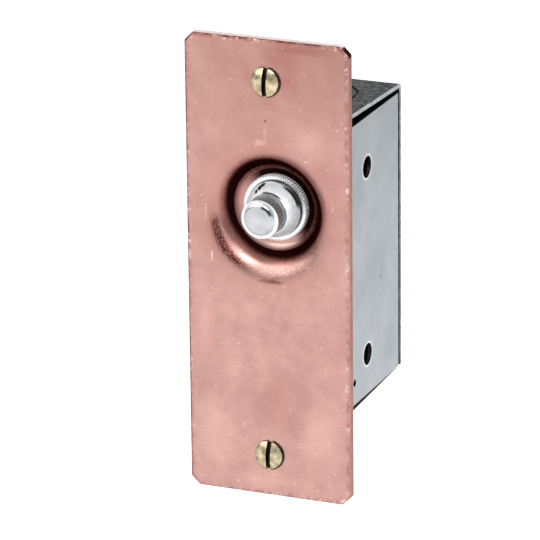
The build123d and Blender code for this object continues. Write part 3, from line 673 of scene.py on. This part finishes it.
# %% [markdown]
# ## Brass
#
# The cover screws are pale, slightly greenish brass with bright crowns. Their slots and the thin gap round
# their heads are painted dark as painted shade, the gap thicker at the right. The slots are cut in the CAD
# model, and their dark could be left to the shadows, but a smooth step across each slot darkens it at every
# angle. The contacts and their screws, inside, are plain rolled brass, whose streaks run along the sheet.

# %% Cover screws
SCREW_SPACING = 85.725 * MM
SLOT_TURN = np.radians(2.5)
SLOT_HALF = (0.5 * MM, 0.56 * MM)
HEAD_EDGE = (3.1 * MM, 3.35 * MM)

for name, height in (("cover_screw_top", SCREW_SPACING / 2), ("cover_screw_bottom", -SCREW_SPACING / 2)):
    tree, place = dress("brass_pale_" + name, nodes[name])
    colour = mottle(tree, place, 1.4 * MM, [(0.3, "#9C8B68"), (0.5, "#C1B28F"), (0.68, "#DDD3B8")], detail=2)
    offset = add(tree, "VectorMath", {0: place, 1: (0, 0, height)}, operation="SUBTRACT")[0]
    across = (float(np.cos(SLOT_TURN)), 0.0, float(-np.sin(SLOT_TURN)))
    across = add(tree, "VectorMath", {0: offset, 1: across}, operation="DOT_PRODUCT")["Value"]
    across = add(tree, "Math", {0: across}, operation="ABSOLUTE")[0]
    # Painted shade in the slot and round the head, the ring moved left so that it is thicker at the right.
    slot = ramp(tree, across, *SLOT_HALF, 1.0, 0.0)
    rim = ramp(tree, from_line(tree, place, (-0.18 * MM, 0, height + 0.05 * MM)), *HEAD_EDGE)
    slot_and_gap_shade = add(tree, "Math", {0: slot, 1: rim}, operation="MAXIMUM")[0]
    colour = paint(tree, product(tree, slot_and_gap_shade, 0.96), colour, "#140C06")
    normal = uneven(tree, place, 0.5 * MM, 0.3, 0.02 * MM)
    close(tree, colour, grain(tree, place, 1.2 * MM, 0.24, 0.38), 0.9, normal)

# %% Contacts, their screws and the housing's rivets
ROLLED = ("fixed_contact_right", "fixed_contact_left", "contact_bridge", "housing_rivets")

tree, place = dress("brass_rolled", *(nodes[name] for name in ROLLED))
colour = mottle(tree, place, 3 * MM, [(0.3, "#B08F4E"), (0.7, "#D3B473")])
streaks = add(tree, "Mapping", {"Vector": place, "Scale": (1.0, 0.08, 1.0)})[0]
normal = uneven(tree, streaks, 0.15 * MM, 0.15, 0.01 * MM, detail=2)
close(tree, colour, grain(tree, place, 2 * MM, 0.25, 0.38), normal=normal)

tree, place = dress("brass_plated_screw", nodes["terminal_screw_right"], nodes["terminal_screw_left"])
colour = mottle(tree, place, 1.5 * MM, [(0.3, "#B59A62"), (0.7, "#DCC795")])
close(tree, colour, grain(tree, place, 0.8 * MM, 0.24, 0.36))

# %% Silver tips
tree, place = dress("silver_contact", nodes["fixed_tips"], nodes["moving_tips"])
colour = mottle(tree, place, 0.9 * MM, [(0.3, "#C9C8C3"), (0.7, "#E8E7E2")])
close(tree, colour, grain(tree, place, 0.5 * MM, 0.2, 0.35))

# %% [markdown]
# ## Moulding, fibre and spring steel
#
# The switch behind the recess is moulded in dark brown phenolic, with the slight swirl that the
# filler leaves. The collar under the bridge is red vulcanised fibre. None of it shows while the
# box is closed, so clouds of two or three near colours and a gloss typical of each are enough.

# %% Phenolic
tree, place = dress("phenolic_brown", nodes["switch_housing"], nodes["switch_base"])
colour = mottle(tree, place, 4 * MM, [(0.3, "#241811"), (0.6, "#32221A"), (0.8, "#3D2A20")], detail=5)
normal = uneven(tree, place, 0.35 * MM, 0.12, 0.02 * MM, detail=2)
close(tree, colour, grain(tree, place, 3 * MM, 0.3, 0.42), 0.0, normal)

# %% Fibre collar
tree, place = dress("vulcanised_fibre_red", nodes["plunger_insulator"])
colour = mottle(tree, place, 1.2 * MM, [(0.3, "#6E2A20"), (0.7, "#87392C")])
close(tree, colour, grain(tree, place, 0.5 * MM, 0.55, 0.7), 0.0)

# %% Washer and retaining ring
tree, place = dress("spring_steel_plain", nodes["lock_washer"], nodes["retaining_clip"])
colour = mottle(tree, place, 1.5 * MM, [(0.3, "#6C6F73"), (0.7, "#8B8F93")])
close(tree, colour, grain(tree, place, 0.7 * MM, 0.3, 0.45))

# %% [markdown]
# ## Return spring
#
# A wire wound round the plunger's stem. Its first and last coil lie close, as a compression spring's do, and
# the coils between them share the rest of the length. A curve with a round bevel would do, but a circle
# carried along a helix with numpy gives the length and the closed ends as plain numbers, and a mesh of plain
# rings that could be squashed along the axis.

# %% Wind the spring
WIRE = 0.35 * MM
SPRING_RADIUS = 4.4 * MM
SPRING_Y = (12.9 * MM, 24.95 * MM)
TURNS = 6
STEPS_PER_TURN = 48
ROUND = 12
CLOSED_TURNS = 0.8
CLOSED_PITCH = 1.9 * WIRE

# Helix: the angle is one circle per turn, and the depth runs evenly between its knots.
turn = np.linspace(0, TURNS, TURNS * STEPS_PER_TURN + 1)
first, last = SPRING_Y[0] + WIRE, SPRING_Y[1] - WIRE
knots = [0, CLOSED_TURNS, TURNS - CLOSED_TURNS, TURNS]
depth = np.interp(turn, knots, [first, first + CLOSED_PITCH, last - CLOSED_PITCH, last])
angle = 2 * np.pi * turn
outward = np.column_stack([np.cos(angle), np.zeros_like(angle), np.sin(angle)])
centres = np.array([0, 0, SWITCH[2]]) + SPRING_RADIUS * outward + np.outer(depth, [0, 1, 0])
# Wire: at each step a circle of radius WIRE, in the plane of the outward way and the axis.
around = (2 * np.pi * np.arange(ROUND) / ROUND)[:, None, None]
section = WIRE * (np.cos(around) * outward + np.sin(around) * np.array([0, 1.0, 0]))
points = (centres[None] + section).transpose(1, 0, 2).reshape(-1, 3)

ring_index = np.arange(len(turn) - 1)[:, None] * ROUND
here, after = np.arange(ROUND), (np.arange(ROUND) + 1) % ROUND
following = ring_index + ROUND
quads = np.stack([ring_index + here, ring_index + after, following + after, following + here], -1)
faces = quads.reshape(-1, 4).tolist() + [here[::-1].tolist(), (len(points) - ROUND + here).tolist()]
coil = bpy.data.meshes.new("return_coil")
coil.from_pydata(points.tolist(), [], faces)
coil.polygons.foreach_set("use_smooth", np.ones(len(faces), bool))
coil.update()
spring = bpy.data.objects.new("return_coil", coil)
bpy.context.scene.collection.objects.link(spring)
print("spring:", len(faces), "faces,", round((last - first) / MM, 2), "mm between its ends' centres")

tree, place = dress("spring_wire_drawn", spring)
colour = mottle(tree, place, 1.2 * MM, [(0.3, "#777A7E"), (0.7, "#9A9EA2")])
close(tree, colour, grain(tree, place, 0.6 * MM, 0.25, 0.4))
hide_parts("return_spring")
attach(spring, "jamb_box")
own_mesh(spring)
